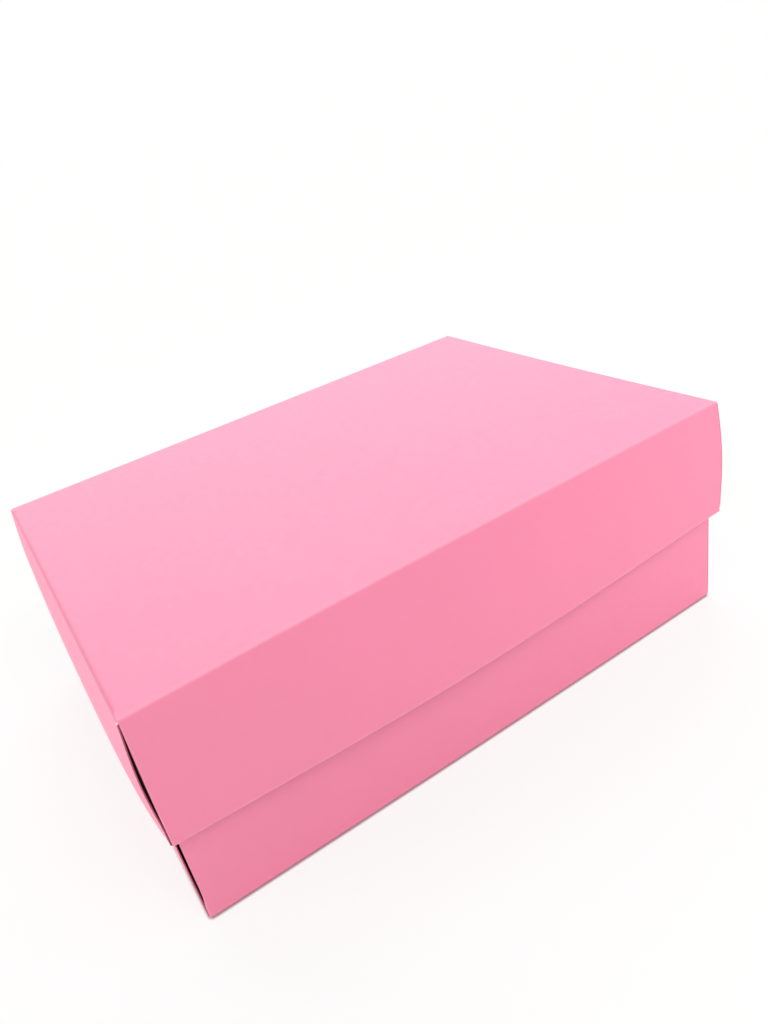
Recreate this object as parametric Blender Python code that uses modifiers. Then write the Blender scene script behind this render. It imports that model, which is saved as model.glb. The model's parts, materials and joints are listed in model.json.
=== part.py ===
"""A gift box of folded board: a deep base tray and a lift-off lid that slides down over it.

Metres, +Z up, standing on z = 0, with the origin under the middle of the box.
The long sides face -Y (front) and +Y (back), and the short ends face -X and +X.

Each half is one sheet of board in the real box. Here each panel between two creases is a solid of
its own. A long side is a single wall. A short end is a double wall: an outer panel, a narrow rim
strip and an inner panel that rolls over the corner flaps folded in from the long sides.
"""

import math

import bmesh
import bpy

# The board, and the space kept between two panels that meet at a crease or lie face to face.
BOARD = 0.0005
CREASE_GAP = 0.0003

# The closed box, measured on its creases.
LENGTH = 0.300
WIDTH = 0.220
HEIGHT = 0.112
LID_DEPTH = 0.0605

# Room between the lid and the base: at the ends, at the long sides and over the base's rims.
END_CLEARANCE = 0.00035
SIDE_CLEARANCE = 0.0029
SEAT_GAP = 0.0003

# How far the lid's walls have sprung open at the rim, in the middle of a wall and at its corners.
LID_SIDE_FLARE = 0.0064
LID_SIDE_LEFT_CORNER_FLARE = 0.0024
LID_SIDE_RIGHT_CORNER_FLARE = 0.0015
LID_END_FLARE = 0.0053
LID_END_FRONT_CORNER_FLARE = 0.0013
LID_END_BACK_CORNER_FLARE = 0.0040
CORNER_PULL_REACH = 0.030

# The lid's outer end panels stand off the corners with their free edges, most at the front left.
# The front right corner swells as a whole instead. Both are fullest at mid depth.
LID_EDGE_SPRING = 0.0003
LID_FRONT_LEFT_EDGE_SPRING = 0.0010
LID_FRONT_RIGHT_CORNER_SWELL = 0.0015
LID_SPRING_DEPTH = 0.054
EDGE_SPRING_REACH = 0.018

# The base's ends lean in under the lid and swell below it, and its long sides swell a little.
# Its floor lies a little to the left of the middle of the lid.
BASE_END_LEAN = 0.0014
BASE_END_BELLY = 0.0021
BASE_SIDE_BELLY = 0.0008
BASE_FLOOR_OFFSET = 0.0008

# Corner flaps and roll-over panels.
LID_FLAP_LENGTH = 0.055
BASE_FLAP_LENGTH = 0.065
FLAP_TAPER = 0.003
FLAP_RIM_ROOM = 0.0012
LID_INNER_END_INSET = 0.008
BASE_INNER_END_INSET = 0.003
FREE_EDGE_INSET = 0.0004
CREASE_ROUNDING = 0.00025

# Powers of a share: where along the front the lid's rim bows most, how full that bow is, how late
# the base's ends lean in, and how full their swelling is.
BOW_SKEW_POWER = 0.87
BOW_FULLNESS_POWER = 1.5
BASE_LEAN_POWER = 2.3
BELLY_POWER = 2.5

# Grid divisions along a wall, down it, and along a corner flap.
SIDE_COLUMNS = 16
END_COLUMNS = 24
WALL_ROWS = 6
FLAP_COLUMNS = 6
ROUNDING_SEGMENTS = 2

LID_PINK = (0.98, 0.36, 0.53, 1.0)
BASE_PINK = (0.95, 0.30, 0.46, 1.0)
INSIDE_PINK = (0.90, 0.27, 0.42, 1.0)
BOARD_ROUGHNESS = 0.6

SIDES = {"front": -1, "back": 1}
ENDS = {"left": -1, "right": 1}

LAYER = BOARD + CREASE_GAP
END_STACK = 3 * BOARD + 2 * CREASE_GAP
HALF_TURN = math.pi
QUARTER_TURN = math.pi / 2


def mix(low, high, share):
    return low + (high - low) * share


class Half:
    """One folded sheet: a flat panel at its crease plane, with four walls folded from its edges."""

    def __init__(self, name, flat_name, length, width, depth, crease_z, rise):
        self.name = name
        self.flat_name = flat_name
        self.length = length
        self.width = width
        self.depth = depth
        self.crease_z = crease_z
        self.rise = rise

    def height(self, down):
        """World z at a distance down a wall from the crease plane."""
        return self.crease_z + self.rise * down

    def middle(self, down):
        """World x of the middle between the two ends."""
        return 0 * down


class Lid(Half):
    """The lid's walls hang from its top and have sprung open towards the rim."""

    def opened(self, down):
        return math.sin(QUARTER_TURN * down / self.depth)

    def lifted(self, down):
        return math.sin(HALF_TURN * min(down / LID_SPRING_DEPTH, 1))

    def side_shift(self, x, down):
        along = min(max(x / self.length + 1 / 2, 0), 1)
        bow = math.sin(HALF_TURN * along**BOW_SKEW_POWER) ** BOW_FULLNESS_POWER
        corner_flare = mix(LID_SIDE_LEFT_CORNER_FLARE, LID_SIDE_RIGHT_CORNER_FLARE, along)
        return self.opened(down) * mix(corner_flare, LID_SIDE_FLARE, bow)

    def side_corner_shift(self, down, end):
        flare = LID_SIDE_LEFT_CORNER_FLARE if end < 0 else LID_SIDE_RIGHT_CORNER_FLARE
        return self.opened(down) * flare

    def end_shift(self, y, down, end):
        near_front = math.exp(-max(y + self.width / 2, 0) / CORNER_PULL_REACH)
        near_back = math.exp(-max(self.width / 2 - y, 0) / CORNER_PULL_REACH)
        flare = LID_END_FLARE
        flare -= (LID_END_FLARE - LID_END_FRONT_CORNER_FLARE) * near_front
        flare -= (LID_END_FLARE - LID_END_BACK_CORNER_FLARE) * near_back
        swell = LID_FRONT_RIGHT_CORNER_SWELL * near_front if end > 0 else 0
        return self.opened(down) * flare + self.lifted(down) * swell

    def edge_spring(self, y, down, end):
        """How far an outer end panel's free edge stands off its corner."""
        into_panel = max(self.width / 2 - abs(y), 0) / EDGE_SPRING_REACH
        spring = LID_FRONT_LEFT_EDGE_SPRING if end < 0 and y < 0 else LID_EDGE_SPRING
        return spring * self.lifted(down) * math.exp(-into_panel)


class Base(Half):
    """The base's walls stand on its floor, lean in under the lid and swell where it leaves them free."""

    def leant(self, down):
        return (down / self.depth) ** BASE_LEAN_POWER

    def middle(self, down):
        return -BASE_FLOOR_OFFSET * (1 - self.leant(down))

    def side_shift(self, x, down):
        along = min(max((x - self.middle(down)) / self.length + 1 / 2, 0), 1)
        return BASE_SIDE_BELLY * math.sin(HALF_TURN * along) * math.sin(HALF_TURN * down / self.depth)

    def side_corner_shift(self, down, end):
        return 0 * down

    def end_shift(self, y, down, end):
        return -BASE_END_LEAN * self.leant(down)

    def edge_spring(self, y, down, end):
        """The outer end panel swells until it meets the lid, at its free edges and, more, between."""
        toward_edge = min(abs(y) / (self.width / 2), 1) ** BELLY_POWER
        swell = base_edge_room() + BASE_END_BELLY * (1 - toward_edge)
        return swell * math.sin(HALF_TURN * down / self.depth)


def base_edge_room():
    """Room for the base's left end to swell under the lid's front corner, at the height of its rim."""
    leant = BASE.leant(HEIGHT - LID_DEPTH)
    base_face = BASE_END_INSET + BASE_END_LEAN * leant - BASE_FLOOR_OFFSET * (1 - leant)
    lid_face = LAYER + BOARD - LID_END_FRONT_CORNER_FLARE
    return base_face - lid_face - END_CLEARANCE


BASE_DEPTH = HEIGHT - BOARD - SEAT_GAP
BASE_END_INSET = END_STACK + END_CLEARANCE - BASE_END_LEAN
BASE_LENGTH = LENGTH - 2 * BASE_END_INSET
BASE_WIDTH = WIDTH - 2 * (BOARD + SIDE_CLEARANCE)

LID = Lid("lid", "top", LENGTH, WIDTH, LID_DEPTH, HEIGHT, -1)
BASE = Base("base", "floor", BASE_LENGTH, BASE_WIDTH, BASE_DEPTH, 0, 1)


def clear_scene():
    for obj in list(bpy.data.objects):
        bpy.data.objects.remove(obj, do_unlink=True)


def board_material(name, colour):
    material = bpy.data.materials.new(name)
    material.use_nodes = True
    shader = material.node_tree.nodes["Principled BSDF"]
    shader.inputs["Base Color"].default_value = colour
    shader.inputs["Roughness"].default_value = BOARD_ROUGHNESS
    shader.inputs["Metallic"].default_value = 0
    return material


def add_node(collection, name, bm, colour, carrier, origin):
    """Makes one named object from a bmesh whose points are in world space."""
    bmesh.ops.translate(bm, verts=bm.verts, vec=[-value for value in origin])
    mesh = bpy.data.meshes.new(name)
    bm.to_mesh(mesh)
    bm.free()
    mesh.materials.append(board_material(name + "_board", colour))
    obj = bpy.data.objects.new(name, mesh)
    collection.objects.link(obj)
    obj.parent = carrier
    carrier_origin = carrier.location if carrier else (0, 0, 0)
    obj.location = [value - base for value, base in zip(origin, carrier_origin)]
    return obj


def flat_box(corner_low, corner_high):
    bm = bmesh.new()
    bmesh.ops.create_cube(bm, size=1)
    size = [high - low for low, high in zip(corner_low, corner_high)]
    middle = [(high + low) / 2 for low, high in zip(corner_low, corner_high)]
    bmesh.ops.scale(bm, verts=bm.verts, vec=size)
    bmesh.ops.translate(bm, verts=bm.verts, vec=middle)
    return bm


def sheet(surface, columns, rows, outward):
    """A grid laid on surface(a, b), for shares a and b from 0 to 1, with its faces turned outward."""
    bm = bmesh.new()
    bmesh.ops.create_grid(bm, x_segments=columns, y_segments=rows, size=1 / 2)
    for vert in bm.verts:
        vert.co = surface(vert.co.x + 1 / 2, vert.co.y + 1 / 2)
    bm.normal_update()
    facing = sum(face.normal.dot(outward) for face in bm.faces)
    if facing < 0:
        bmesh.ops.reverse_faces(bm, faces=bm.faces)
    return bm


def thicken(obj):
    """Gives a sheet the board's thickness, behind its outer face."""
    solidify = obj.modifiers.new("board_thickness", "SOLIDIFY")
    solidify.thickness = BOARD
    solidify.offset = -1
    solidify.use_even_offset = True
    obj.data.shade_smooth()
    obj.data.set_sharp_from_angle(angle=QUARTER_TURN / 3)


def add_sheet(half, name, surface, columns, rows, outward, colour, carrier, origin=(0, 0, 0)):
    bm = sheet(surface, columns, rows, outward)
    obj = add_node(PARTS, half.name + "_" + name, bm, colour, carrier, origin)
    thicken(obj)
    return obj


def add_flat_panel(half, colour, carrier):
    """The lid's top or the base's floor, with its outer face on the crease plane."""
    inner = half.height(BOARD)
    middle = half.middle(0)
    low = (middle - half.length / 2, -half.width / 2, min(half.crease_z, inner))
    high = (middle + half.length / 2, half.width / 2, max(half.crease_z, inner))
    bm = flat_box(low, high)
    outer_edges = [
        edge for edge in bm.edges if all(abs(v.co.z - half.crease_z) < BOARD / 2 for v in edge.verts)
    ]
    bmesh.ops.bevel(
        bm, geom=outer_edges, offset=CREASE_ROUNDING, segments=ROUNDING_SEGMENTS, profile=1 / 2, affect="EDGES"
    )
    add_node(PARTS, half.name + "_" + half.flat_name, bm, colour, carrier, (0, 0, 0))


def end_place(half, y, down, end, inward=0):
    """World x of a layer of an end, a distance inward from the outermost one's resting face."""
    return half.middle(down) + end * (half.length / 2 + half.end_shift(y, down, end) - inward)


def add_side_wall(half, place, side, colour, carrier):
    def surface(a, b):
        down = mix(LAYER, half.depth, b)
        corner = side * half.width / 2
        x = mix(end_place(half, corner, down, -1, LAYER), end_place(half, corner, down, 1, LAYER), a)
        out = half.width / 2 + half.side_shift(x, down)
        return x, side * out, half.height(down)

    outward = (0, side, 0)
    add_sheet(half, place + "_wall", surface, SIDE_COLUMNS, WALL_ROWS, outward, colour, carrier)


def add_corner_flap(half, end_name, end, side_name, side, length, colour, carrier):
    """Folded in from a long side, between the outer and the inner panel of the end."""

    def surface(a, b):
        near = LAYER + FLAP_TAPER * a
        far = half.depth - LAYER - FLAP_RIM_ROOM - FLAP_TAPER * a
        down = mix(near, far, b)
        fold = half.width / 2 + half.side_corner_shift(down, end) - LAYER
        y = side * mix(fold, half.width / 2 - length, a)
        return end_place(half, y, down, end, LAYER), y, half.height(down)

    name = side_name + "_" + end_name + "_corner_flap"
    add_sheet(half, name, surface, FLAP_COLUMNS, WALL_ROWS, (end, 0, 0), colour, carrier)


def add_outer_end(half, place, end, colour, carrier):
    def surface(a, b):
        down = mix(LAYER, half.depth - LAYER, b)
        reach = half.width / 2 + half.side_corner_shift(down, end) - FREE_EDGE_INSET
        y = mix(-reach, reach, a)
        return end_place(half, y, down, end, -half.edge_spring(y, down, end)), y, half.height(down)

    add_sheet(half, place + "_outer_end", surface, END_COLUMNS, WALL_ROWS, (end, 0, 0), colour, carrier)


def add_rim_strip(half, place, end, colour, carrier):
    """The narrow strip between the two rim creases, which spans the end's three layers of board."""

    def surface(a, b):
        reach = half.width / 2 + half.side_corner_shift(half.depth, end) - LAYER
        y = mix(-reach, reach, a)
        return end_place(half, y, half.depth, end, END_STACK * b), y, half.height(half.depth)

    outward = (0, 0, half.rise)
    add_sheet(half, place + "_rim_strip", surface, END_COLUMNS, 1, outward, colour, carrier)


def add_inner_end(half, place, end, inset, colour, carrier, origin=(0, 0, 0)):
    """The roll-over panel, folded down from the rim strip over the corner flaps."""

    def surface(a, b):
        down = mix(LAYER, half.depth - LAYER, b)
        reach = half.width / 2 - inset
        y = mix(-reach, reach, a)
        return end_place(half, y, down, end, 2 * LAYER), y, half.height(down)

    name = place + "_inner_end"
    add_sheet(half, name, surface, END_COLUMNS, WALL_ROWS, (end, 0, 0), colour, carrier, origin)


def add_guide(name, location):
    """An empty on a joint's axis."""
    guide = bpy.data.objects.new(name, None)
    guide.location = location
    PARTS.objects.link(guide)
    return guide


def build_lid():
    carrier = add_guide("lid_lift_axis", (0, 0, HEIGHT))
    add_flat_panel(LID, LID_PINK, carrier)
    for side_name, side in SIDES.items():
        add_side_wall(LID, side_name, side, LID_PINK, carrier)
    for end_name, end in ENDS.items():
        add_outer_end(LID, end_name, end, LID_PINK, carrier)
        add_rim_strip(LID, end_name, end, LID_PINK, carrier)
        add_inner_end(LID, end_name, end, LID_INNER_END_INSET, INSIDE_PINK, carrier)
        for side_name, side in SIDES.items():
            add_corner_flap(
                LID, end_name, end, side_name, side, LID_FLAP_LENGTH, INSIDE_PINK, carrier
            )


def build_base():
    add_flat_panel(BASE, BASE_PINK, None)
    for side_name, side in SIDES.items():
        add_side_wall(BASE, side_name, side, BASE_PINK, None)
    for end_name, end in ENDS.items():
        add_outer_end(BASE, end_name, end, BASE_PINK, None)
        add_rim_strip(BASE, end_name, end, BASE_PINK, None)
        hinge_down = BASE.depth - LAYER
        hinge_x = end_place(BASE, 0, hinge_down, end, 2 * LAYER + BOARD)
        hinge = (hinge_x, 0, BASE.height(hinge_down))
        add_inner_end(BASE, end_name, end, BASE_INNER_END_INSET, INSIDE_PINK, None, hinge)
        for side_name, side in SIDES.items():
            add_corner_flap(
                BASE, end_name, end, side_name, side, BASE_FLAP_LENGTH, INSIDE_PINK, None
            )


clear_scene()
PARTS = bpy.data.collections.new("gift_box")
bpy.context.scene.collection.children.link(PARTS)
build_base()
build_lid()
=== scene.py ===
import json
import math

import bmesh
import bpy
from mathutils import Matrix, Vector


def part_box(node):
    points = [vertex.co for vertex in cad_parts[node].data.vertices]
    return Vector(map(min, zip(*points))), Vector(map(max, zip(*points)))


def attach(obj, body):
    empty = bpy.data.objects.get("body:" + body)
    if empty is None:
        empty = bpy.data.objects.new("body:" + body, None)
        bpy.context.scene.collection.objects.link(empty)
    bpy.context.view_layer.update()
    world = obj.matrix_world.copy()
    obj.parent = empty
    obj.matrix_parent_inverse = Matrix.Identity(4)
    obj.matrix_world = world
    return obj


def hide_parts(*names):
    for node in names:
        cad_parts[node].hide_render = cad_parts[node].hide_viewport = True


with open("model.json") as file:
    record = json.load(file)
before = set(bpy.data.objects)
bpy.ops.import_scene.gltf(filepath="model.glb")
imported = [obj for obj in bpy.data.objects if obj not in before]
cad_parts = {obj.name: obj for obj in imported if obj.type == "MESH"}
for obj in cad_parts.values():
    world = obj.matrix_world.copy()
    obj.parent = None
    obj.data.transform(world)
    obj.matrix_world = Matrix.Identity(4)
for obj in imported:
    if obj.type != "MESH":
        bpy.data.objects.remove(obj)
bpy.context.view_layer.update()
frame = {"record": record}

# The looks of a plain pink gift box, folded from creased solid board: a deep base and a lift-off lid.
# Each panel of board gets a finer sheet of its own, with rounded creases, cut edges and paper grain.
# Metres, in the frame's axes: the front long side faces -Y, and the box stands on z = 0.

# Sizes read from the frame's own panels.
TOP_LOW, TOP_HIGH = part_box("lid_top")
FLOOR_LOW, FLOOR_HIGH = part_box("base_floor")
LENGTH = TOP_HIGH.x - TOP_LOW.x
WIDTH = TOP_HIGH.y - TOP_LOW.y
HEIGHT = TOP_HIGH.z
BOARD = TOP_HIGH.z - TOP_LOW.z
LID_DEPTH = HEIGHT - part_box("lid_front_wall")[0].z
LID_SIDE_FLARE = TOP_LOW.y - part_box("lid_front_wall")[0].y
BASE_LENGTH = FLOOR_HIGH.x - FLOOR_LOW.x
BASE_WIDTH = FLOOR_HIGH.y - FLOOR_LOW.y
BASE_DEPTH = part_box("base_left_rim_strip")[1].z
BASE_FLOOR_OFFSET = -(FLOOR_HIGH.x + FLOOR_LOW.x) / 2

# The rest of the folded shape, as the frame's panels have it.
CREASE_GAP = 0.0003
END_CLEARANCE = 0.00035
LID_SIDE_LEFT_CORNER_FLARE = 0.0024
LID_SIDE_RIGHT_CORNER_FLARE = 0.0015
LID_END_FLARE = 0.0053
LID_END_FRONT_CORNER_FLARE = 0.0013
LID_END_BACK_CORNER_FLARE = 0.0040
CORNER_PULL_REACH = 0.030
LID_EDGE_SPRING = 0.0003
LID_FRONT_LEFT_EDGE_SPRING = 0.0010
LID_FRONT_RIGHT_CORNER_SWELL = 0.0015
LID_SPRING_DEPTH = 0.054
EDGE_SPRING_REACH = 0.018
BASE_END_LEAN = 0.0014
BASE_END_BELLY = 0.0018
BASE_SIDE_BELLY = 0.0008
LID_FLAP_LENGTH = 0.055
BASE_FLAP_LENGTH = 0.065
FLAP_TAPER = 0.003
FLAP_RIM_ROOM = 0.0012
LID_INNER_END_INSET = 0.008
BASE_INNER_END_INSET = 0.003
FREE_EDGE_INSET = 0.00015
BOW_SKEW_POWER = 0.87
BOW_FULLNESS_POWER = 1.5
BASE_LEAN_POWER = 2.3
BELLY_POWER = 2.5

# The lid sits a little high at its front right: its front crease rises soon from the left corner, and its
# rim only towards the right one. The base's foot bows outward, and its end panels press out at their edges.
LID_CREASE_LIFT = 0.0030
LID_CREASE_LIFT_REACH = 0.30
LID_RIM_LIFT = 0.0026
LID_LIFT_POWER = 2
BASE_FOOT_BOW = 0.0007
BASE_FOOT_BOW_DEPTH = 0.030
BASE_EDGE_PRESS = 0.00015
BASE_PRESS_FULLNESS = 0.6
EDGE_SPRING_FULLNESS = 1.4

FLAP_GAP = 0.00012
LAYER = BOARD + CREASE_GAP
FLAP_UNDER = BOARD + FLAP_GAP
END_STACK = 3 * BOARD + 2 * CREASE_GAP
HALF_TURN = math.pi
QUARTER_TURN = math.pi / 2

# The flat panels' creases: the board first rolls over softly, then folds tightly onto the wall.
ROLL_REACH = 0.0016
ROLL_ANGLE = math.radians(12)
FOLD_RADIUS = 0.0010
CORNER_TIP_RADIUS = 0.0004
CORNER_LEAST_RADIUS = 0.0001
SEAM_DOWN = 0.0012

# The rim strips' two creases, and the upright folds where the long walls turn into corner flaps.
RIM_CREASE_RADIUS = 0.0006
CORNER_FOLD_RADIUS = 0.00035
CORNER_FOLD_TIP_RADIUS = 0.0002
CORNER_FOLD_GROWTH = 0.005
BASE_FOLD_INSET = 0.00035

# The base's left corners close up at the bottom: there the wall's fold comes out to the end panel's
# face, and the end panel's free edge is cut back behind it.
BASE_CORNER_CLOSED = 0.004
BASE_CORNER_OPEN = 0.016
CLOSED_CORNER_UNDER = 0.00005
CLOSED_EDGE_CUT = 0.0009

# Near the rim an outer end panel's free edges are cut back to the rim strip's.
RIM_CUT_REACH = 4 * LAYER

# How fine the sheets are, and how sharp or close their points may be.
SIDE_COLUMNS = 60
END_COLUMNS = 44
WALL_ROWS = 18
FLAP_COLUMNS = 10
ROLL_SEGMENTS = 4
FOLD_SEGMENTS = 8
CORNER_SEGMENTS = 6
PANEL_INSETS = (0.060, 0.030, 0.014, 0.007, 0.0045, 0.003)
EDGE_INSETS = (0.00012, 0.0004, 0.001)
FOLD_INSETS = (0.0002, 0.0004)
LEAST_SPACING = 0.00006
SHARP_ANGLE = math.radians(35)
MERGE_REACH = 0.00002

# The wear attribute holds 1 on a scuffed cut edge, and more where the paper is torn to the white fibre, as
# at the tip of the front left corners. WEAR_REACH is how far in from a cut edge the face is scuffed.
WEAR_REACH = 0.0005
TIP_WEAR = 0.3
TORN_WEAR = 4
CORNER_WEAR = {(-1, -1): TORN_WEAR, (1, -1): TIP_WEAR, (-1, 1): TIP_WEAR, (1, 1): TIP_WEAR}

# The crease attribute holds 1 where a fold takes a painted highlight, and less than 0 where painted shade
# darkens the board: a little on the end creases, and most where it is tucked in behind another panel.
END_CREASE_SHADE = -0.3
TUCKED_SHADE = -1
TUCKED_SHADE_LEAST = 0.4
TUCKED_SHADE_GROWTH = 0.018

ENDS = {"left": -1, "right": 1}
SIDES = {"front": -1, "back": 1}


def mix(low, high, share):
    return low + (high - low) * share


def smooth_share(value, start, end):
    """0 before start, 1 after end, with a soft change between."""
    share = min(max((value - start) / (end - start), 0), 1)
    return share * share * (3 - 2 * share)


class Half:
    """One folded half: a flat panel on its crease plane, and four walls folded from its edges."""

    def __init__(self, name, flat_name, length, width, depth, crease_z, rise):
        self.name = name
        self.flat_name = flat_name
        self.length = length
        self.width = width
        self.depth = depth
        self.crease_z = crease_z
        self.rise = rise

    def height(self, down):
        """World z at a depth down from the crease plane."""
        return self.crease_z + self.rise * down

    def middle(self, down):
        """World x of the half's middle."""
        return 0

    def side_out(self, x, down):
        """How far a long wall's face is from the middle."""
        return self.width / 2 + self.side_shift(x, down)

    def end_x(self, y, down, end, inward=0):
        """World x of a layer of an end, a distance inward from the outermost one's resting face."""
        return self.middle(down) + end * (self.length / 2 + self.end_shift(y, down, end) - inward)

    def skin_x(self, y, down, end):
        """World x of an outer end panel's face, with its free edges sprung."""
        return self.end_x(y, down, end, -self.edge_spring(y, down, end))

    def flap_x(self, y, down, end, under=FLAP_UNDER):
        """World x of a folded wall's flap: against its end panel on the right, clear of it on the left."""
        face = self.skin_x(y, down, end) if end > 0 else self.end_x(y, down, end)
        return face - end * (under + self.fold_inset(end))

    def fold_x(self, y, down, end):
        """World x of a long wall's fold, which comes out to the end panel's face where a corner closes."""
        closed = CLOSED_CORNER_UNDER - self.fold_inset(end)
        under = mix(closed, FLAP_UNDER, self.corner_open(down, end))
        return self.flap_x(y, down, end, under)

    def fold_inset(self, end):
        """How much further in a corner's fold and flap sit than they need to."""
        return 0

    def lift(self, x, y, down):
        """How much higher a point sits than in the frame's panels."""
        return 0

    def corner_open(self, down, end):
        """1 where a corner's wall and end panel stand apart, falling to 0 where they close up."""
        return 1

    def side_slope(self, x):
        """How steeply a long wall leaves its crease, as outward travel over downward travel."""
        return (self.side_out(x, SEAM_DOWN) - self.side_out(x, 0)) / SEAM_DOWN

    def end_slope(self, y, end):
        """The same for an outer end panel."""
        return end * (self.skin_x(y, SEAM_DOWN, end) - self.skin_x(y, 0, end)) / SEAM_DOWN


class Lid(Half):
    """The lid, whose walls flare out from its top, and whose front sits a little high."""

    def opened(self, down):
        """How far a wall has opened at a depth: 0 at its crease and 1 at the rim."""
        return math.sin(QUARTER_TURN * min(down / self.depth, 1))

    def lifted(self, down):
        """How far a free edge has sprung at a depth: 0 at its two ends and 1 between them."""
        return math.sin(HALF_TURN * min(down / LID_SPRING_DEPTH, 1))

    def side_shift(self, x, down):
        along = min(max(x / self.length + 1 / 2, 0), 1)
        bow = math.sin(HALF_TURN * along**BOW_SKEW_POWER) ** BOW_FULLNESS_POWER
        corner_flare = mix(LID_SIDE_LEFT_CORNER_FLARE, LID_SIDE_RIGHT_CORNER_FLARE, along)
        return self.opened(down) * mix(corner_flare, LID_SIDE_FLARE, bow)

    def side_corner_shift(self, down, end):
        flare = LID_SIDE_LEFT_CORNER_FLARE if end < 0 else LID_SIDE_RIGHT_CORNER_FLARE
        return self.opened(down) * flare

    def end_shift(self, y, down, end):
        near_front = math.exp(-max(y + self.width / 2, 0) / CORNER_PULL_REACH)
        near_back = math.exp(-max(self.width / 2 - y, 0) / CORNER_PULL_REACH)
        flare = LID_END_FLARE
        flare -= (LID_END_FLARE - LID_END_FRONT_CORNER_FLARE) * near_front
        flare -= (LID_END_FLARE - LID_END_BACK_CORNER_FLARE) * near_back
        swell = LID_FRONT_RIGHT_CORNER_SWELL * near_front if end > 0 else 0
        return self.opened(down) * flare + self.lifted(down) * swell

    def edge_spring(self, y, down, end):
        into_panel = max(self.width / 2 - abs(y), 0) / EDGE_SPRING_REACH
        spring = LID_FRONT_LEFT_EDGE_SPRING if end < 0 and y < 0 else LID_EDGE_SPRING
        return spring * self.lifted(down) ** EDGE_SPRING_FULLNESS * math.exp(-into_panel)

    def lift(self, x, y, down):
        rightward = min(max(x / self.length + 1 / 2, 0), 1)
        frontward = min(max(1 / 2 - y / self.width, 0), 1) ** LID_LIFT_POWER
        risen = math.expm1(-rightward / LID_CREASE_LIFT_REACH) / math.expm1(-1 / LID_CREASE_LIFT_REACH)
        at_crease = LID_CREASE_LIFT * risen
        at_rim = LID_RIM_LIFT * rightward**LID_LIFT_POWER
        return frontward * mix(at_crease, at_rim, down / self.depth)


class Base(Half):
    """The base, whose end panels belly outward and lean in towards the rim."""

    def leant(self, down):
        """How far the end panels have leant at a depth: 0 at the floor and 1 at the rim."""
        return (down / self.depth) ** BASE_LEAN_POWER

    def middle(self, down):
        return -BASE_FLOOR_OFFSET * (1 - self.leant(down))

    def side_shift(self, x, down):
        along = min(max((x - self.middle(down)) / self.length + 1 / 2, 0), 1)
        belly = BASE_SIDE_BELLY * math.sin(HALF_TURN * down / self.depth)
        foot = BASE_FOOT_BOW * (1 - smooth_share(down, 0, BASE_FOOT_BOW_DEPTH))
        return math.sin(HALF_TURN * along) * (belly + foot)

    def side_corner_shift(self, down, end):
        return 0

    def end_shift(self, y, down, end):
        return -BASE_END_LEAN * self.leant(down)

    def edge_spring(self, y, down, end):
        toward_edge = min(abs(y) / (self.width / 2), 1) ** BELLY_POWER
        swelling = math.sin(HALF_TURN * down / self.depth)
        fullness = BASE_PRESS_FULLNESS if down < self.depth / 2 else 1
        press = (base_edge_room() + BASE_EDGE_PRESS) * swelling**fullness
        return press + BASE_END_BELLY * (1 - toward_edge) * swelling

    def fold_inset(self, end):
        return BASE_FOLD_INSET if end < 0 else 0

    def corner_open(self, down, end):
        return smooth_share(down, BASE_CORNER_CLOSED, BASE_CORNER_OPEN) if end < 0 else 1


def base_edge_room():
    """Room for the base's left end to swell under the lid's front corner, at the height of its rim."""
    leant = BASE.leant(HEIGHT - LID_DEPTH)
    resting_face = (LENGTH - BASE_LENGTH) / 2
    base_face = resting_face + BASE_END_LEAN * leant - BASE_FLOOR_OFFSET * (1 - leant)
    lid_face = LAYER + BOARD - LID_END_FRONT_CORNER_FLARE
    return base_face - lid_face - END_CLEARANCE


LID = Lid("lid", "top", LENGTH, WIDTH, LID_DEPTH, HEIGHT, -1)
BASE = Base("base", "floor", BASE_LENGTH, BASE_WIDTH, BASE_DEPTH, 0, 1)


def spread(low, high, count, at_low=(), at_high=()):
    """Places from low to high, evenly spaced, with more of them close to an edge that needs them."""
    places = {low, high}
    places.update(low + inset for inset in at_low)
    places.update(high - inset for inset in at_high)
    first = low + (max(at_low) if at_low else 0)
    last = high - (max(at_high) if at_high else 0)
    places.update(mix(first, last, step / count) for step in range(count + 1))
    ordered = sorted(places)
    kept = [ordered[0]]
    for place in ordered[1:]:
        if place - kept[-1] > LEAST_SPACING:
            kept.append(place)
    return kept


def near_edge(distance):
    """1 on a cut edge, falling to 0 a little way in from it."""
    return 1 - smooth_share(distance, 0, WEAR_REACH)


def new_sheet():
    """An empty sheet whose points can hold wear and crease."""
    bm = bmesh.new()
    bm.verts.layers.float.new("wear")
    bm.verts.layers.float.new("crease")
    return bm


def add_grid(bm, rows):
    """Joins rows of points, each (place, wear, crease), into a sheet of quads."""
    wear_layer = bm.verts.layers.float["wear"]
    crease_layer = bm.verts.layers.float["crease"]
    made = []
    for row in rows:
        line = []
        for place, wear, crease in row:
            vert = bm.verts.new(place)
            vert[wear_layer] = wear
            vert[crease_layer] = crease
            line.append(vert)
        made.append(line)
    for upper, lower in zip(made, made[1:]):
        for column in range(len(upper) - 1):
            bm.faces.new((upper[column], upper[column + 1], lower[column + 1], lower[column]))


def turn_outward(bm, outward):
    """Turns a sheet's faces to the side that its outer face is on."""
    bm.normal_update()
    facing = sum(face.normal.dot(outward) * face.calc_area() for face in bm.faces)
    if facing < 0:
        bmesh.ops.reverse_faces(bm, faces=bm.faces)


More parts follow.
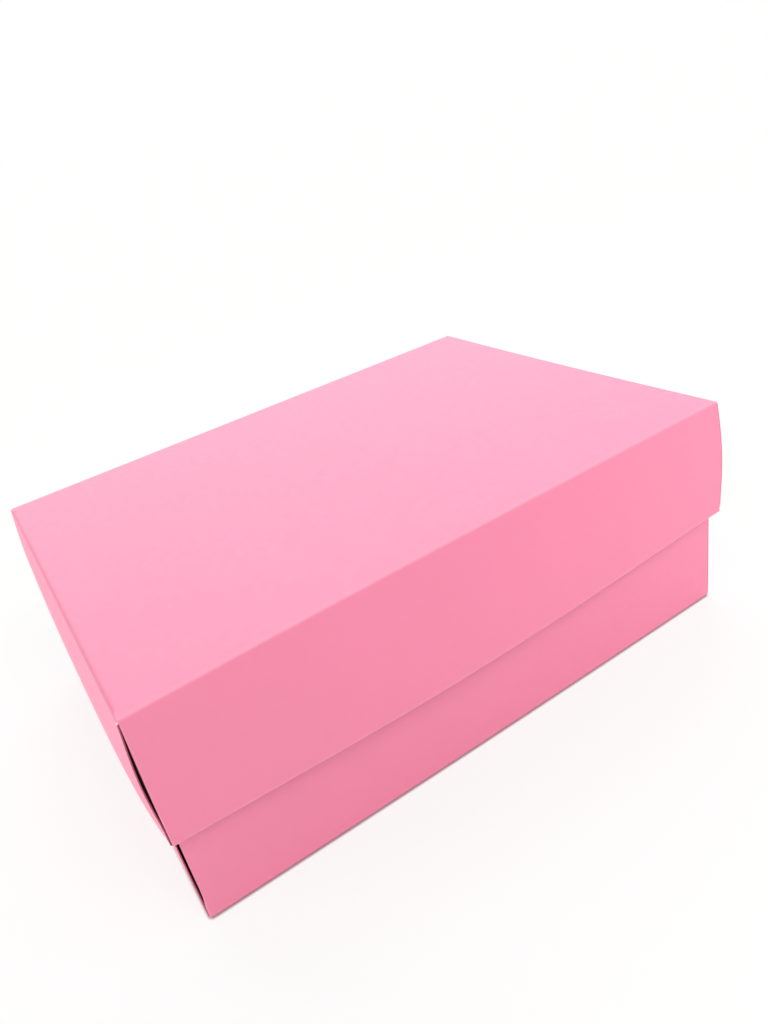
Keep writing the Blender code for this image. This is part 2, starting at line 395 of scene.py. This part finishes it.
def finish_sheet(half, bm, name, outward, materials):
    """Gives a sheet the board's thickness, behind its outer face, and puts it in the scene."""
    bmesh.ops.remove_doubles(bm, verts=bm.verts, dist=MERGE_REACH)
    for vert in bm.verts:
        down = half.rise * (vert.co.z - half.crease_z)
        vert.co.z += half.lift(vert.co.x, vert.co.y, down)
    turn_outward(bm, outward)
    flat = bpy.data.meshes.new(name + "_sheet")
    bm.to_mesh(flat)
    bm.free()
    for material in materials:
        flat.materials.append(material)
    source = bpy.data.objects.new(name + "_sheet", flat)
    bpy.context.scene.collection.objects.link(source)
    solidify = source.modifiers.new("board_thickness", "SOLIDIFY")
    solidify.thickness = BOARD
    solidify.offset = -1
    solidify.use_even_offset = True
    solidify.material_offset = 1
    solidify.material_offset_rim = 2
    bpy.context.view_layer.update()
    depsgraph = bpy.context.evaluated_depsgraph_get()
    mesh = bpy.data.meshes.new_from_object(source.evaluated_get(depsgraph), depsgraph=depsgraph)
    mesh.name = name
    outer_count = len(flat.vertices)
    through = mesh.attributes.new("through", "FLOAT", "POINT")
    for index, spot in enumerate(through.data):
        spot.value = 0 if index < outer_count else 1
    bpy.data.objects.remove(source)
    bpy.data.meshes.remove(flat)
    mesh.shade_smooth()
    mesh.set_sharp_from_angle(angle=SHARP_ANGLE)
    piece = bpy.data.objects.new(name, mesh)
    bpy.context.scene.collection.objects.link(piece)
    return piece


def dress(piece, node):
    """The piece stands for one panel of the frame: it rides on its body, and the frame's panel is hidden."""
    record = frame["record"]
    for body, members in record["behaviour"]["bodies"].items():
        if node in members:
            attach(piece, body)
    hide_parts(node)


def fold_steps(slope):
    """A crease in section, from the panel's middle out: (outward from the crease line, down, crease), crease
    being its share of painted highlight.
    """
    steps = [(-inset, 0, 0) for inset in PANEL_INSETS]
    turn = QUARTER_TURN - math.atan(slope)
    roll_radius = ROLL_REACH / ROLL_ANGLE
    curve = []
    for step in range(ROLL_SEGMENTS + 1):
        angle = ROLL_ANGLE * step / ROLL_SEGMENTS
        rolled = (roll_radius * math.sin(angle), roll_radius * (1 - math.cos(angle)))
        curve.append(rolled + (step / ROLL_SEGMENTS,))
    roll_out, roll_down, _ = curve[-1]
    for step in range(1, FOLD_SEGMENTS + 1):
        share = step / FOLD_SEGMENTS
        angle = mix(ROLL_ANGLE, turn, share)
        out = roll_out + FOLD_RADIUS * (math.sin(angle) - math.sin(ROLL_ANGLE))
        down = roll_down + FOLD_RADIUS * (math.cos(ROLL_ANGLE) - math.cos(angle))
        curve.append((out, down, 1 - share))
    last_out, last_down, _ = curve[-1]
    start = slope * last_down - last_out
    steps += [(start + out, down, crease) for out, down, crease in curve]
    steps.append((slope * SEAM_DOWN, SEAM_DOWN, 0))
    return steps


def panel_corner(half, end, side):
    """The creases that meet at a corner, step by step: arc centre, arc radii, depths, crease share."""
    end_steps = fold_steps(half.end_slope(side * half.width / 2, end))
    side_steps = fold_steps(half.side_slope(end * half.length / 2))
    tip = CORNER_TIP_RADIUS
    corner = []
    for (end_out, end_down, crease), (side_out, side_down, _) in zip(end_steps, side_steps):
        x = half.middle(0) + end * (half.length / 2 + min(end_out, -tip))
        y = side * (half.width / 2 + min(side_out, -tip))
        radii = [out + tip for out in (end_out, side_out)]
        radii = [radius if radius > CORNER_LEAST_RADIUS else 0 for radius in radii]
        corner.append(((x, y), radii, (end_down, side_down), crease))
    return corner


def corner_arc(half, end, side, stage, from_end):
    """The points of one ring round a corner, between the ring's two straight stretches."""
    (x, y), (end_radius, side_radius), (end_down, side_down), crease = stage
    worn = CORNER_WEAR[end, side] if end_radius > 0 else 0
    for step in range(1, CORNER_SEGMENTS):
        share = step / CORNER_SEGMENTS
        toward_side = share if from_end else 1 - share
        angle = QUARTER_TURN * toward_side
        spot_x = x + end * end_radius * math.cos(angle)
        spot_y = y + side * side_radius * math.sin(angle)
        down = mix(end_down, side_down, toward_side)
        if max(end_radius, side_radius) == 0:
            down = (end_down + side_down) / 2
        yield (spot_x, spot_y, half.height(down)), worn, crease


def side_stretch(half, side, low, high, profiles, step):
    """The points of one ring along a long crease, from its left corner to its right one."""
    line = []
    for column, profile in enumerate(profiles):
        out, down, crease = profile[step]
        x = mix(low[step][0][0], high[step][0][0], column / SIDE_COLUMNS)
        bowed = (half.side_out(x, 0) - half.width / 2) * (1 - smooth_share(-out, 0, PANEL_INSETS[0]))
        line.append(((x, side * (half.width / 2 + bowed + out), half.height(down)), 0, crease))
    return line


def end_stretch(half, end, low, high, profiles, step):
    """The points of one ring along an end crease, from its front corner to its back one."""
    line = []
    for column, profile in enumerate(profiles):
        out, down, crease = profile[step]
        y = mix(low[step][0][1], high[step][0][1], column / END_COLUMNS)
        x = half.middle(0) + end * (half.length / 2 + out)
        # Painted shade: the end creases are darkened a little.
        line.append(((x, y, half.height(down)), 0, crease * END_CREASE_SHADE))
    return line


def crease_rings(half, corners):
    """The closed rings of points from the flat panel's inner part out over its four creases."""
    across = [mix(-1, 1, column / SIDE_COLUMNS) * half.length / 2 for column in range(SIDE_COLUMNS + 1)]
    along = [mix(-1, 1, column / END_COLUMNS) * half.width / 2 for column in range(END_COLUMNS + 1)]
    sides = [fold_steps(half.side_slope(x)) for x in across]
    left = [fold_steps(half.end_slope(y, -1)) for y in along]
    right = [fold_steps(half.end_slope(y, 1)) for y in along]
    front_left, front_right = corners[-1, -1], corners[1, -1]
    back_left, back_right = corners[-1, 1], corners[1, 1]
    rings = []
    for step in range(len(sides[0])):
        ring = side_stretch(half, -1, front_left, front_right, sides, step)
        ring += corner_arc(half, 1, -1, front_right[step], False)
        ring += end_stretch(half, 1, front_right, back_right, right, step)
        ring += corner_arc(half, 1, 1, back_right[step], True)
        ring += side_stretch(half, 1, back_left, back_right, sides, step)[::-1]
        ring += corner_arc(half, -1, 1, back_left[step], False)
        ring += end_stretch(half, -1, front_left, back_left, left, step)[::-1]
        ring += corner_arc(half, -1, -1, front_left[step], True)
        rings.append(ring + ring[:1])
    return rings


def inner_rows(half, low, high):
    """The rows of points of the flat panel's inner part, between two opposite corners of it."""
    rows = []
    for row in range(END_COLUMNS + 1):
        y = mix(high[1], low[1], row / END_COLUMNS)
        across = [mix(low[0], high[0], column / SIDE_COLUMNS) for column in range(SIDE_COLUMNS + 1)]
        rows.append([((x, y, half.crease_z), 0, 0) for x in across])
    return rows


def build_flat_panel(half, materials):
    """The lid's top or the base's floor, with the four creases that turn into its walls."""
    corners = {(end, side): panel_corner(half, end, side) for end in (-1, 1) for side in (-1, 1)}
    bm = new_sheet()
    add_grid(bm, crease_rings(half, corners))
    add_grid(bm, inner_rows(half, corners[-1, -1][0][0], corners[1, 1][0][0]))
    name = half.name + "_" + half.flat_name
    piece = finish_sheet(half, bm, name + "_board", Vector((0, 0, -half.rise)), materials)
    dress(piece, name)


def build_side_wall(half, place, side, materials):
    """A long single wall, with the corner folds at its two ends."""
    rows = []
    for down in spread(SEAM_DOWN, half.depth, WALL_ROWS, at_high=EDGE_INSETS):
        growth = smooth_share(down, SEAM_DOWN, SEAM_DOWN + CORNER_FOLD_GROWTH)
        radius = mix(CORNER_FOLD_TIP_RADIUS, CORNER_FOLD_RADIUS, growth)
        left, right = (half.fold_x(side * half.width / 2, down, end) for end in (-1, 1))
        row = []
        for x in spread(left + radius, right - radius, SIDE_COLUMNS, FOLD_INSETS, FOLD_INSETS):
            from_fold = min(x - left, right - x) - radius
            # Painted highlight along the upright folds.
            crease = 1 - smooth_share(from_fold, 0, max(FOLD_INSETS))
            row.append((x, half.side_out(x, down), crease))
        left_fold = upright_fold(half, row[0], -1, down, radius)
        right_fold = upright_fold(half, row[-1], 1, down, radius)
        wear = near_edge(half.depth - down)
        z = half.height(down)
        points = left_fold[::-1] + row + right_fold
        rows.append([((x, side * out, z), wear, crease) for x, out, crease in points])
    bm = new_sheet()
    add_grid(bm, rows)
    name = half.name + "_" + place + "_wall"
    piece = finish_sheet(half, bm, name + "_board", Vector((0, side, 0)), materials)
    dress(piece, name)


def upright_fold(half, start, end, down, radius):
    """From the last point of a long wall round its fold and on to where the corner flap begins."""
    start_x, start_out, _ = start
    # Painted shade: the fold darkens towards near black where it turns in behind the end panel, less so just
    # below the crease.
    tucked = TUCKED_SHADE * mix(TUCKED_SHADE_LEAST, 1, smooth_share(down, SEAM_DOWN, TUCKED_SHADE_GROWTH))
    line = []
    for step in range(1, FOLD_SEGMENTS + 1):
        angle = QUARTER_TURN * step / FOLD_SEGMENTS
        x = start_x + end * radius * math.sin(angle)
        out = start_out - radius * (1 - math.cos(angle))
        line.append((x, out, mix(1, tucked, step / FOLD_SEGMENTS)))
    flap_start = half.width / 2 + half.side_corner_shift(down, end) - LAYER
    line.append((start_x + end * radius, flap_start, tucked))
    return line


def build_corner_flap(half, end_name, end, side_name, side, length, materials):
    """A long wall's flap, folded in behind the outer end panel."""
    rows = []
    for down_share in spread(0, 1, WALL_ROWS):
        row = []
        for share in spread(0, 1, FLAP_COLUMNS):
            near = max(LAYER, SEAM_DOWN) + FLAP_TAPER * share
            far = half.depth - LAYER - FLAP_RIM_ROOM - FLAP_TAPER * share
            down = mix(near, far, down_share)
            fold = half.width / 2 + half.side_corner_shift(down, end) - LAYER
            y = side * mix(fold, half.width / 2 - length, share)
            # Painted shade: the whole flap is darkened, as it lies in the shade behind the outer end panel.
            row.append(((half.flap_x(y, down, end), y, half.height(down)), 0, TUCKED_SHADE))
        rows.append(row)
    bm = new_sheet()
    add_grid(bm, rows)
    name = half.name + "_" + side_name + "_" + end_name + "_corner_flap"
    piece = finish_sheet(half, bm, name + "_board", Vector((end, 0, 0)), materials)
    dress(piece, name)


def build_outer_end(half, end_name, end, materials):
    """The outer panel of a double end, with its two free edges standing a little off the corners."""
    rim_down = half.depth - LAYER
    rows = []
    for down in spread(SEAM_DOWN, rim_down, WALL_ROWS):
        reach = half.width / 2 + half.side_corner_shift(down, end) - FREE_EDGE_INSET
        reach -= (LAYER - FREE_EDGE_INSET) * smooth_share(down, rim_down - RIM_CUT_REACH, rim_down)
        reach -= CLOSED_EDGE_CUT * (1 - half.corner_open(down, end))
        row = []
        for y in spread(-reach, reach, END_COLUMNS, EDGE_INSETS, EDGE_INSETS):
            place = (half.skin_x(y, down, end), y, half.height(down))
            row.append((place, near_edge(reach - abs(y)), 0))
        rows.append(row)
    bm = new_sheet()
    add_grid(bm, rows)
    name = half.name + "_" + end_name + "_outer_end"
    piece = finish_sheet(half, bm, name + "_board", Vector((end, 0, 0)), materials)
    dress(piece, name)


def build_rim_strip(half, end_name, end, materials):
    """The double end's rim: two rounded creases with a narrow strip between them."""
    radius = RIM_CREASE_RADIUS
    profile = [(0, LAYER, 0)]
    for step in range(FOLD_SEGMENTS + 1):
        angle = QUARTER_TURN * step / FOLD_SEGMENTS
        inward = radius * (1 - math.cos(angle))
        up = radius * (1 - math.sin(angle))
        # Painted highlight on the rim strip's two creases.
        profile.append((inward, up, math.sin(2 * angle)))
    profile += [(END_STACK - inward, up, crease) for inward, up, crease in reversed(profile)]
    reach = half.width / 2 + half.side_corner_shift(half.depth, end) - LAYER
    rows = []
    for inward, up, crease in profile:
        down = half.depth - up
        row = []
        for y in spread(-reach, reach, END_COLUMNS, EDGE_INSETS, EDGE_INSETS):
            sprung = half.edge_spring(y, down, end) if inward < END_STACK / 2 else 0
            place = (half.end_x(y, down, end, inward - sprung), y, half.height(down))
            row.append((place, near_edge(reach - abs(y)), crease))
        rows.append(row)
    bm = new_sheet()
    add_grid(bm, rows)
    name = half.name + "_" + end_name + "_rim_strip"
    piece = finish_sheet(half, bm, name + "_board", Vector((0, 0, half.rise)), materials)
    dress(piece, name)


def build_inner_end(half, end_name, end, inset, materials):
    """The roll-over panel, folded down from the rim strip over the corner flaps."""
    reach = half.width / 2 - inset
    rows = []
    for down in spread(LAYER, half.depth - LAYER, WALL_ROWS, at_low=EDGE_INSETS):
        row = []
        for y in spread(-reach, reach, END_COLUMNS, EDGE_INSETS, EDGE_INSETS):
            place = (half.end_x(y, down, end, 2 * LAYER), y, half.height(down))
            row.append((place, max(near_edge(reach - abs(y)), near_edge(down - LAYER)), 0))
        rows.append(row)
    bm = new_sheet()
    add_grid(bm, rows)
    name = half.name + "_" + end_name + "_inner_end"
    piece = finish_sheet(half, bm, name + "_board", Vector((end, 0, 0)), materials)
    dress(piece, name)


PLAIN_WHITE = (1, 1, 1, 1)

# Paper colours, as linear red, green and blue.
FACE_PINK = (0.92, 0.228, 0.380)
# A near black, painted as the shade on board tucked in behind another panel.
TUCKED_SHADE_PINK = (0.16, 0.015, 0.05)
INSIDE_PINK = (0.93, 0.21, 0.36)
CUT_CORE_PALE = (0.88, 0.23, 0.38)
CUT_SKIN_PALE = (0.80, 0.17, 0.30)
# Painted shade: a darker copy of the cut edge, for the left ends.
CUT_CORE_SHADED = (0.55, 0.12, 0.17)
CUT_SKIN_SHADED = (0.28, 0.035, 0.06)
# A pale pink for real wear on cut edges, and for the painted highlight on folds.
WORN_AND_HIGHLIGHT_PINK = (1.0, 0.62, 0.72)
BARE_FIBRE = (0.95, 0.90, 0.90)

# Paper grain: feature sizes in metres and how strongly each shows.
CLOUD_SIZE = 0.045
MOTTLE_SIZE = 0.004
FIBRE_SIZE = 0.00035
CLOUD_SPAN = 0.025
FIBRE_SPAN = 0.035
GRAIN_DEPTH = 0.00002
GRAIN_STRENGTH = 0.25
CUT_GRAIN_DEPTH = 0.00004
CUT_GRAIN_STRENGTH = 0.5

# How many octaves each noise has, and how rough it is.
CLOUD_DETAIL = 2
MOTTLE_DETAIL = 4
FIBRE_DETAIL = 5
CUT_FIBRE_DETAIL = 6
SOFT_NOISE = 0.5
ROUGH_NOISE = 0.7

# The stretch of a noise that each effect uses, and how scuffed an edge is at least.
FIBRE_STRETCH = (0.25, 0.75)
SCUFF_STRETCH = (0.35, 0.65)
SCUFF_LEAST = 0.35
ROUGHNESS_STRETCH = (0.3, 0.7)

# Through the board's thickness, as shares: where the front skin ends and where the back one begins.
FRONT_SKIN_END = (0.2, 0.35)
BACK_SKIN_START = (0.65, 0.8)
CORE_SPAN = 0.15

# How much painted highlight makes the paper's creases paler than its face, and how much wear makes its cut
# edges paler, as shares.
FACE_CREASE_HIGHLIGHT_SHARE = 0.18
FACE_WEAR_SHARE = 0.6
INSIDE_CREASE_HIGHLIGHT_SHARE = 0.04
INSIDE_WEAR_SHARE = 0.4

# The paper's sheen: matte, with a fine nap that turns pale at a low angle.
FACE_ROUGHNESS = 0.55
ROUGHNESS_SPAN = 0.10
FACE_SHEEN = 0.08
FACE_SPECULAR = 0.68
SHEEN_ROUGHNESS = 0.5
CUT_ROUGHNESS = 0.85


def scaled(colour, factor):
    """A colour made brighter or darker, with its fourth value."""
    return tuple(min(value * factor, 1) for value in colour) + (1,)


# A colour Mix node's sockets, by their place: its other sockets are for numbers and vectors.
MIX_FIRST = 6
MIX_SECOND = 7
MIX_RESULT = 2


class Graph:
    """Short calls for making and joining the nodes of a material or the world."""

    def __init__(self, holder):
        holder.use_nodes = True
        self.tree = holder.node_tree
        self.nodes = self.tree.nodes
        self.shader = self.nodes.get("Principled BSDF")

    def add(self, kind, **settings):
        node = self.nodes.new(kind)
        for key, value in settings.items():
            setattr(node, key, value)
        return node

    def join(self, output, entry):
        self.tree.links.new(output, entry)

    def noise(self, size, detail, roughness=SOFT_NOISE):
        places = self.add("ShaderNodeTexCoord")
        node = self.add("ShaderNodeTexNoise")
        node.inputs["Scale"].default_value = 1 / size
        node.inputs["Detail"].default_value = detail
        node.inputs["Roughness"].default_value = roughness
        self.join(places.outputs["Object"], node.inputs["Vector"])
        return node.outputs["Fac"]

    def ranged(self, value, low, high, to_low, to_high, curve="LINEAR"):
        node = self.add("ShaderNodeMapRange", interpolation_type=curve)
        node.inputs["From Min"].default_value = low
        node.inputs["From Max"].default_value = high
        node.inputs["To Min"].default_value = to_low
        node.inputs["To Max"].default_value = to_high
        self.join(value, node.inputs["Value"])
        return node.outputs["Result"]

    def times(self, first, second):
        node = self.add("ShaderNodeMath", operation="MULTIPLY")
        self.join(first, node.inputs[0])
        if isinstance(second, (int, float)):
            node.inputs[1].default_value = second
        else:
            self.join(second, node.inputs[1])
        return node.outputs["Value"]

    def blend(self, share, first, second):
        """A colour between first and second, each a colour or another node's output."""
        node = self.add("ShaderNodeMix", data_type="RGBA")
        self.join(share, node.inputs["Factor"])
        for value, entry in ((first, node.inputs[MIX_FIRST]), (second, node.inputs[MIX_SECOND])):
            if isinstance(value, tuple):
                entry.default_value = value
            else:
                self.join(value, entry)
        return node.outputs[MIX_RESULT]

    def light(self, kind, colour):
        """An emission or background shader of strength 1."""
        node = self.add(kind)
        node.inputs["Color"].default_value = colour
        node.inputs["Strength"].default_value = 1
        return node

    def choose(self, share, first, second, surface):
        """A mix of two shaders, joined to the surface of an output node."""
        node = self.add("ShaderNodeMixShader")
        self.join(share, node.inputs[0])
        for place, shader in enumerate((first, second), 1):
            self.join(shader.outputs[0], node.inputs[place])
        self.join(node.outputs[0], surface)

    def seen_directly(self):
        """1 for camera, glossy and transmission rays, and 0 for the rays that light the object."""
        path = self.add("ShaderNodeLightPath")
        total = path.outputs["Is Camera Ray"]
        for kind in ("Is Glossy Ray", "Is Transmission Ray"):
            added = self.add("ShaderNodeMath", operation="ADD", use_clamp=True)
            self.join(total, added.inputs[0])
            self.join(path.outputs[kind], added.inputs[1])
            total = added.outputs[0]
        return total

    def attribute(self, name):
        node = self.add("ShaderNodeAttribute", attribute_name=name)
        return node.outputs["Fac"]

    def bump(self, height, strength, depth):
        node = self.add("ShaderNodeBump")
        node.inputs["Strength"].default_value = strength
        node.inputs["Distance"].default_value = depth
        self.join(height, node.inputs["Height"])
        self.join(node.outputs["Normal"], self.shader.inputs["Normal"])


def paper_material(name, colour, tucked_shade_colour, worn_share, crease_highlight_share):
    """Matte dyed paper: clouded colour, fine fibre, scuffed edges, painted highlight on folds, painted shade
    where tucked.
    """
    material = bpy.data.materials.new(name)
    graph = Graph(material)
    shader = graph.shader
    cloud = graph.noise(CLOUD_SIZE, CLOUD_DETAIL)
    mottle = graph.noise(MOTTLE_SIZE, MOTTLE_DETAIL)
    fibre = graph.noise(FIBRE_SIZE, FIBRE_DETAIL, ROUGH_NOISE)
    tone = graph.blend(cloud, scaled(colour, 1 - CLOUD_SPAN), scaled(colour, 1 + CLOUD_SPAN))
    grain = graph.ranged(fibre, *FIBRE_STRETCH, 0, FIBRE_SPAN)
    tone = graph.blend(grain, tone, scaled(BARE_FIBRE, 1))
    # Painted highlight on folds.
    crease = graph.times(graph.attribute("crease"), crease_highlight_share)
    tone = graph.blend(crease, tone, scaled(WORN_AND_HIGHLIGHT_PINK, 1))
    # Painted shade where the board is tucked in behind another panel.
    tucked = graph.ranged(graph.attribute("crease"), 0, TUCKED_SHADE, 0, 1)
    tone = graph.blend(tucked, tone, scaled(tucked_shade_colour, 1))
    scuff = graph.ranged(mottle, *SCUFF_STRETCH, SCUFF_LEAST, 1)
    worn = graph.times(graph.times(graph.attribute("wear"), scuff), worn_share)
    tone = graph.blend(worn, tone, scaled(WORN_AND_HIGHLIGHT_PINK, 1))
    torn = graph.ranged(graph.attribute("wear"), 1, TORN_WEAR, 0, 1)
    tone = graph.blend(torn, tone, scaled(BARE_FIBRE, 1))
    graph.join(tone, shader.inputs["Base Color"])
    smoothest = FACE_ROUGHNESS - ROUGHNESS_SPAN / 2
    rough = graph.ranged(mottle, *ROUGHNESS_STRETCH, smoothest, smoothest + ROUGHNESS_SPAN)
    graph.join(rough, shader.inputs["Roughness"])
    shader.inputs["Specular IOR Level"].default_value = FACE_SPECULAR
    shader.inputs["Sheen Weight"].default_value = FACE_SHEEN
    shader.inputs["Sheen Roughness"].default_value = SHEEN_ROUGHNESS
    shader.inputs["Sheen Tint"].default_value = PLAIN_WHITE
    graph.bump(fibre, GRAIN_STRENGTH, GRAIN_DEPTH)
    return material


def cut_material(name, core, skin):
    """The board's cut edge: a fibrous core between two dyed skins."""
    material = bpy.data.materials.new(name)
    graph = Graph(material)
    fibre = graph.noise(FIBRE_SIZE, CUT_FIBRE_DETAIL, ROUGH_NOISE)
    layer = graph.attribute("through")
    near_face = graph.ranged(layer, *FRONT_SKIN_END, 0, 1)
    near_back = graph.ranged(layer, *BACK_SKIN_START, 1, 0)
    inner = graph.blend(fibre, scaled(core, 1 - CORE_SPAN), scaled(core, 1 + CORE_SPAN))
    tone = graph.blend(graph.times(near_face, near_back), scaled(skin, 1), inner)
    graph.join(tone, graph.shader.inputs["Base Color"])
    graph.shader.inputs["Roughness"].default_value = CUT_ROUGHNESS
    graph.bump(fibre, CUT_GRAIN_STRENGTH, CUT_GRAIN_DEPTH)
    return material


def build_half(half, flap_length, inner_inset):
    """All thirteen panels of a half. The cut edges of its left end are darker, with painted shade."""
    build_flat_panel(half, BOARD_FACES["right"])
    for side_name, side in SIDES.items():
        build_side_wall(half, side_name, side, BOARD_FACES["right"])
    for end_name, end in ENDS.items():
        faces = BOARD_FACES[end_name]
        build_outer_end(half, end_name, end, faces)
        build_rim_strip(half, end_name, end, faces)
        build_inner_end(half, end_name, end, inner_inset, faces)
        for side_name, side in SIDES.items():
            build_corner_flap(half, end_name, end, side_name, side, flap_length, faces)


# The camera stands to the front left of the box, above it and close, tilted to one side.
CAMERA_PLACE = (-0.15137, -0.34611, 0.28555)
CAMERA_YAW = math.radians(26.155)
CAMERA_PITCH = math.radians(28.883)
CAMERA_ROLL = math.radians(-12.505)
CAMERA_LENS = 28.388
CAMERA_FILM = 36
CAMERA_SIGHT = 120

# Plain soft studio light: a dome, a high key from the front, broad panels behind and to the left, and
# a near panel to the right that falls off towards the left. Azimuths turn from the front (-Y) towards
# the right.
DOME_STRENGTH = 0.30
KEY_STRENGTH = 0.93
KEY_ANGLE = math.radians(30)
KEY_AZIMUTH = math.radians(20)
KEY_ELEVATION = math.radians(50)
BACK_STRENGTH = 1.72
BACK_ANGLE = math.radians(75)
BACK_AZIMUTH = math.radians(160)
BACK_ELEVATION = math.radians(40)
LEFT_STRENGTH = 1.75
LEFT_ANGLE = math.radians(60)
LEFT_AZIMUTH = math.radians(-95)
LEFT_ELEVATION = math.radians(20)
SIDE_PANEL_POWER = 2.6
SIDE_PANEL_SIZE = 0.5
SIDE_PANEL_PLACE = (0.75, -0.45, 0.35)
SIDE_PANEL_TARGET = (0, 0, 0.06)

# The floor: a white sweep, which the camera sees partly as plain white and partly with its shadows. Right
# beside the box its paint is darkened to a soft painted contact shadow, with no glow.
SWEEP_WHITE = (0.92, 0.93, 0.90, 1)
SWEEP_GLOW = (0.995, 0.998, 0.998, 1)
SWEEP_BOUNCE_WHITE = (0.90, 0.90, 0.90, 1)
SWEEP_GLOW_SHARE = 0.78
CONTACT_SHADOW_TONE = (0.54, 0.43, 0.46, 1)
CONTACT_REACH = 0.0022
CONTACT_SHADED = 0.5
CONTACT_CLEAR = 0.9
STAGE_REACH = 12
STAGE_DROP = 0.0002


def add_camera():
    """The photograph's camera."""
    camera = bpy.data.cameras.new("photo_camera")
    camera.sensor_fit = "VERTICAL"
    camera.sensor_height = CAMERA_FILM
    camera.lens = CAMERA_LENS
    camera.clip_start = BOARD
    camera.clip_end = CAMERA_SIGHT
    obj = bpy.data.objects.new("photo_camera", camera)
    bpy.context.scene.collection.objects.link(obj)
    turn = Matrix.Rotation(-CAMERA_YAW, 4, "Z")
    tilt = Matrix.Rotation(QUARTER_TURN - CAMERA_PITCH, 4, "X")
    roll = Matrix.Rotation(CAMERA_ROLL, 4, "Z")
    obj.matrix_world = Matrix.Translation(CAMERA_PLACE) @ turn @ tilt @ roll
    bpy.context.scene.camera = obj


def add_sun(name, azimuth, elevation, strength, angle):
    """A broad distant lamp."""
    sun = bpy.data.lights.new(name, "SUN")
    sun.energy = strength
    sun.angle = angle
    obj = bpy.data.objects.new(name, sun)
    bpy.context.scene.collection.objects.link(obj)
    flat = math.cos(elevation)
    toward_lamp = Vector((flat * math.sin(azimuth), -flat * math.cos(azimuth), math.sin(elevation)))
    obj.rotation_euler = toward_lamp.to_track_quat("Z", "Y").to_euler()


def add_side_panel():
    """A square panel lamp beside the box."""
    panel = bpy.data.lights.new("side_panel", "AREA")
    panel.shape = "SQUARE"
    panel.size = SIDE_PANEL_SIZE
    panel.energy = SIDE_PANEL_POWER
    obj = bpy.data.objects.new("side_panel", panel)
    bpy.context.scene.collection.objects.link(obj)
    obj.location = SIDE_PANEL_PLACE
    toward_lamp = Vector(SIDE_PANEL_PLACE) - Vector(SIDE_PANEL_TARGET)
    obj.rotation_euler = toward_lamp.to_track_quat("Z", "Y").to_euler()


def add_world():
    """A dome that lights the box, and plain white where it is seen directly."""
    world = bpy.data.worlds.new("studio")
    bpy.context.scene.world = world
    graph = Graph(world)
    graph.nodes.clear()
    dome = graph.light("ShaderNodeBackground", PLAIN_WHITE)
    dome.inputs["Strength"].default_value = DOME_STRENGTH
    white = graph.light("ShaderNodeBackground", PLAIN_WHITE)
    output = graph.add("ShaderNodeOutputWorld")
    graph.choose(graph.seen_directly(), dome, white, output.inputs["Surface"])


def sweep_material():
    """White paint, darkened close to the box as a painted contact shadow, mixed with a plain white glow where
    it is seen.
    """
    material = bpy.data.materials.new("white_sweep")
    graph = Graph(material)
    seen = graph.seen_directly()
    contact = graph.add("ShaderNodeAmbientOcclusion")
    contact.inputs["Distance"].default_value = CONTACT_REACH
    clear = graph.ranged(contact.outputs["AO"], CONTACT_SHADED, CONTACT_CLEAR, 0, 1, "SMOOTHSTEP")
    # Painted contact shadow: the paint turns dark close to the box.
    shaded = graph.blend(clear, CONTACT_SHADOW_TONE, SWEEP_WHITE)
    paint = graph.blend(seen, SWEEP_BOUNCE_WHITE, shaded)
    graph.join(paint, graph.shader.inputs["Base Color"])
    graph.shader.inputs["Roughness"].default_value = 1
    graph.shader.inputs["Specular IOR Level"].default_value = 0
    glow = graph.light("ShaderNodeEmission", SWEEP_GLOW)
    share = graph.times(seen, graph.times(clear, SWEEP_GLOW_SHARE))
    graph.choose(share, graph.shader, glow, graph.nodes["Material Output"].inputs["Surface"])
    return material


def add_stage():
    """The floor, just below the box."""
    bm = bmesh.new()
    bmesh.ops.create_grid(bm, x_segments=1, y_segments=1, size=STAGE_REACH)
    mesh = bpy.data.meshes.new("studio_floor")
    bm.to_mesh(mesh)
    bm.free()
    mesh.materials.append(sweep_material())
    floor = bpy.data.objects.new("studio_floor", mesh)
    floor.location = (0, 0, -STAGE_DROP)
    bpy.context.scene.collection.objects.link(floor)


FACE = paper_material("pink_paper_face", FACE_PINK, TUCKED_SHADE_PINK, FACE_WEAR_SHARE, FACE_CREASE_HIGHLIGHT_SHARE)
INSIDE = paper_material("pink_paper_inside", INSIDE_PINK, INSIDE_PINK, INSIDE_WEAR_SHARE, INSIDE_CREASE_HIGHLIGHT_SHARE)
CUT_PALE = cut_material("pale_board_cut_edge", CUT_CORE_PALE, CUT_SKIN_PALE)
CUT_SHADED = cut_material("deep_board_cut_edge", CUT_CORE_SHADED, CUT_SKIN_SHADED)
# The left ends' cut edges take the darker copy, as painted shade.
BOARD_FACES = {"left": (FACE, INSIDE, CUT_SHADED), "right": (FACE, INSIDE, CUT_PALE)}

add_camera()
add_world()
add_sun("key_panel", KEY_AZIMUTH, KEY_ELEVATION, KEY_STRENGTH, KEY_ANGLE)
add_sun("back_panel", BACK_AZIMUTH, BACK_ELEVATION, BACK_STRENGTH, BACK_ANGLE)
add_sun("left_panel", LEFT_AZIMUTH, LEFT_ELEVATION, LEFT_STRENGTH, LEFT_ANGLE)
add_side_panel()
add_stage()
build_half(LID, LID_FLAP_LENGTH, LID_INNER_END_INSET)
build_half(BASE, BASE_FLAP_LENGTH, BASE_INNER_END_INSET)

bpy.context.scene.view_settings.view_transform = "Standard"
